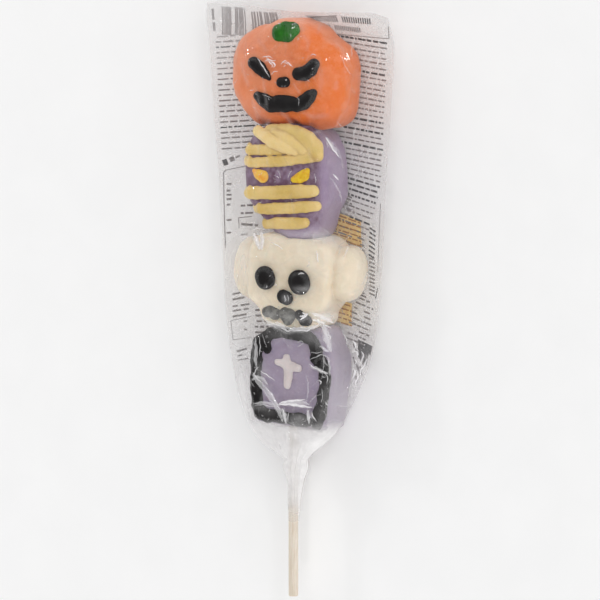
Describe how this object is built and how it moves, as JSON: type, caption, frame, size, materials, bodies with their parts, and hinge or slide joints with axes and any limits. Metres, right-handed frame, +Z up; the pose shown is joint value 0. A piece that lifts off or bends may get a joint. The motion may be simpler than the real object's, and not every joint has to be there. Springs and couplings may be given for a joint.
{
  "type": "marshmallow skewer in a clear bag",
  "caption": "Seasonal marshmallow shapes on a round wooden stick, sealed in a clear film bag that is gathered to a tail round the stick; lies on its back, decorated side up.",
  "frame": {"origin": "middle of the footprint, on the surface the bag lies on", "axes": "+Y along the stick from its free tip towards the bag's top seal, +X to the right of the decorated side, +Z up out of the decorated side"},
  "size_m": [0.0888, 0.255, 0.0305],
  "materials": {
    "clear_film": "clear crinkled film, glossy, a little milky where it is gathered",
    "film_print": "grey ink bars on film",
    "pale_wood": "plain turned hardwood, unvarnished",
    "orange_marshmallow": "soft, matt, lightly dusted with starch",
    "lilac_marshmallow": "soft, matt, lightly dusted with starch",
    "cream_marshmallow": "soft, matt, lightly dusted with starch",
    "yellow_marshmallow": "piped strands, soft and satin",
    "black_marshmallow": "piped, soft and satin",
    "green_marshmallow": "piped, soft and satin"
  },
  "bodies": {
    "root": {"sealed_bag": "clear_film", "stick": "pale_wood"}
  },
  "joints": []
}
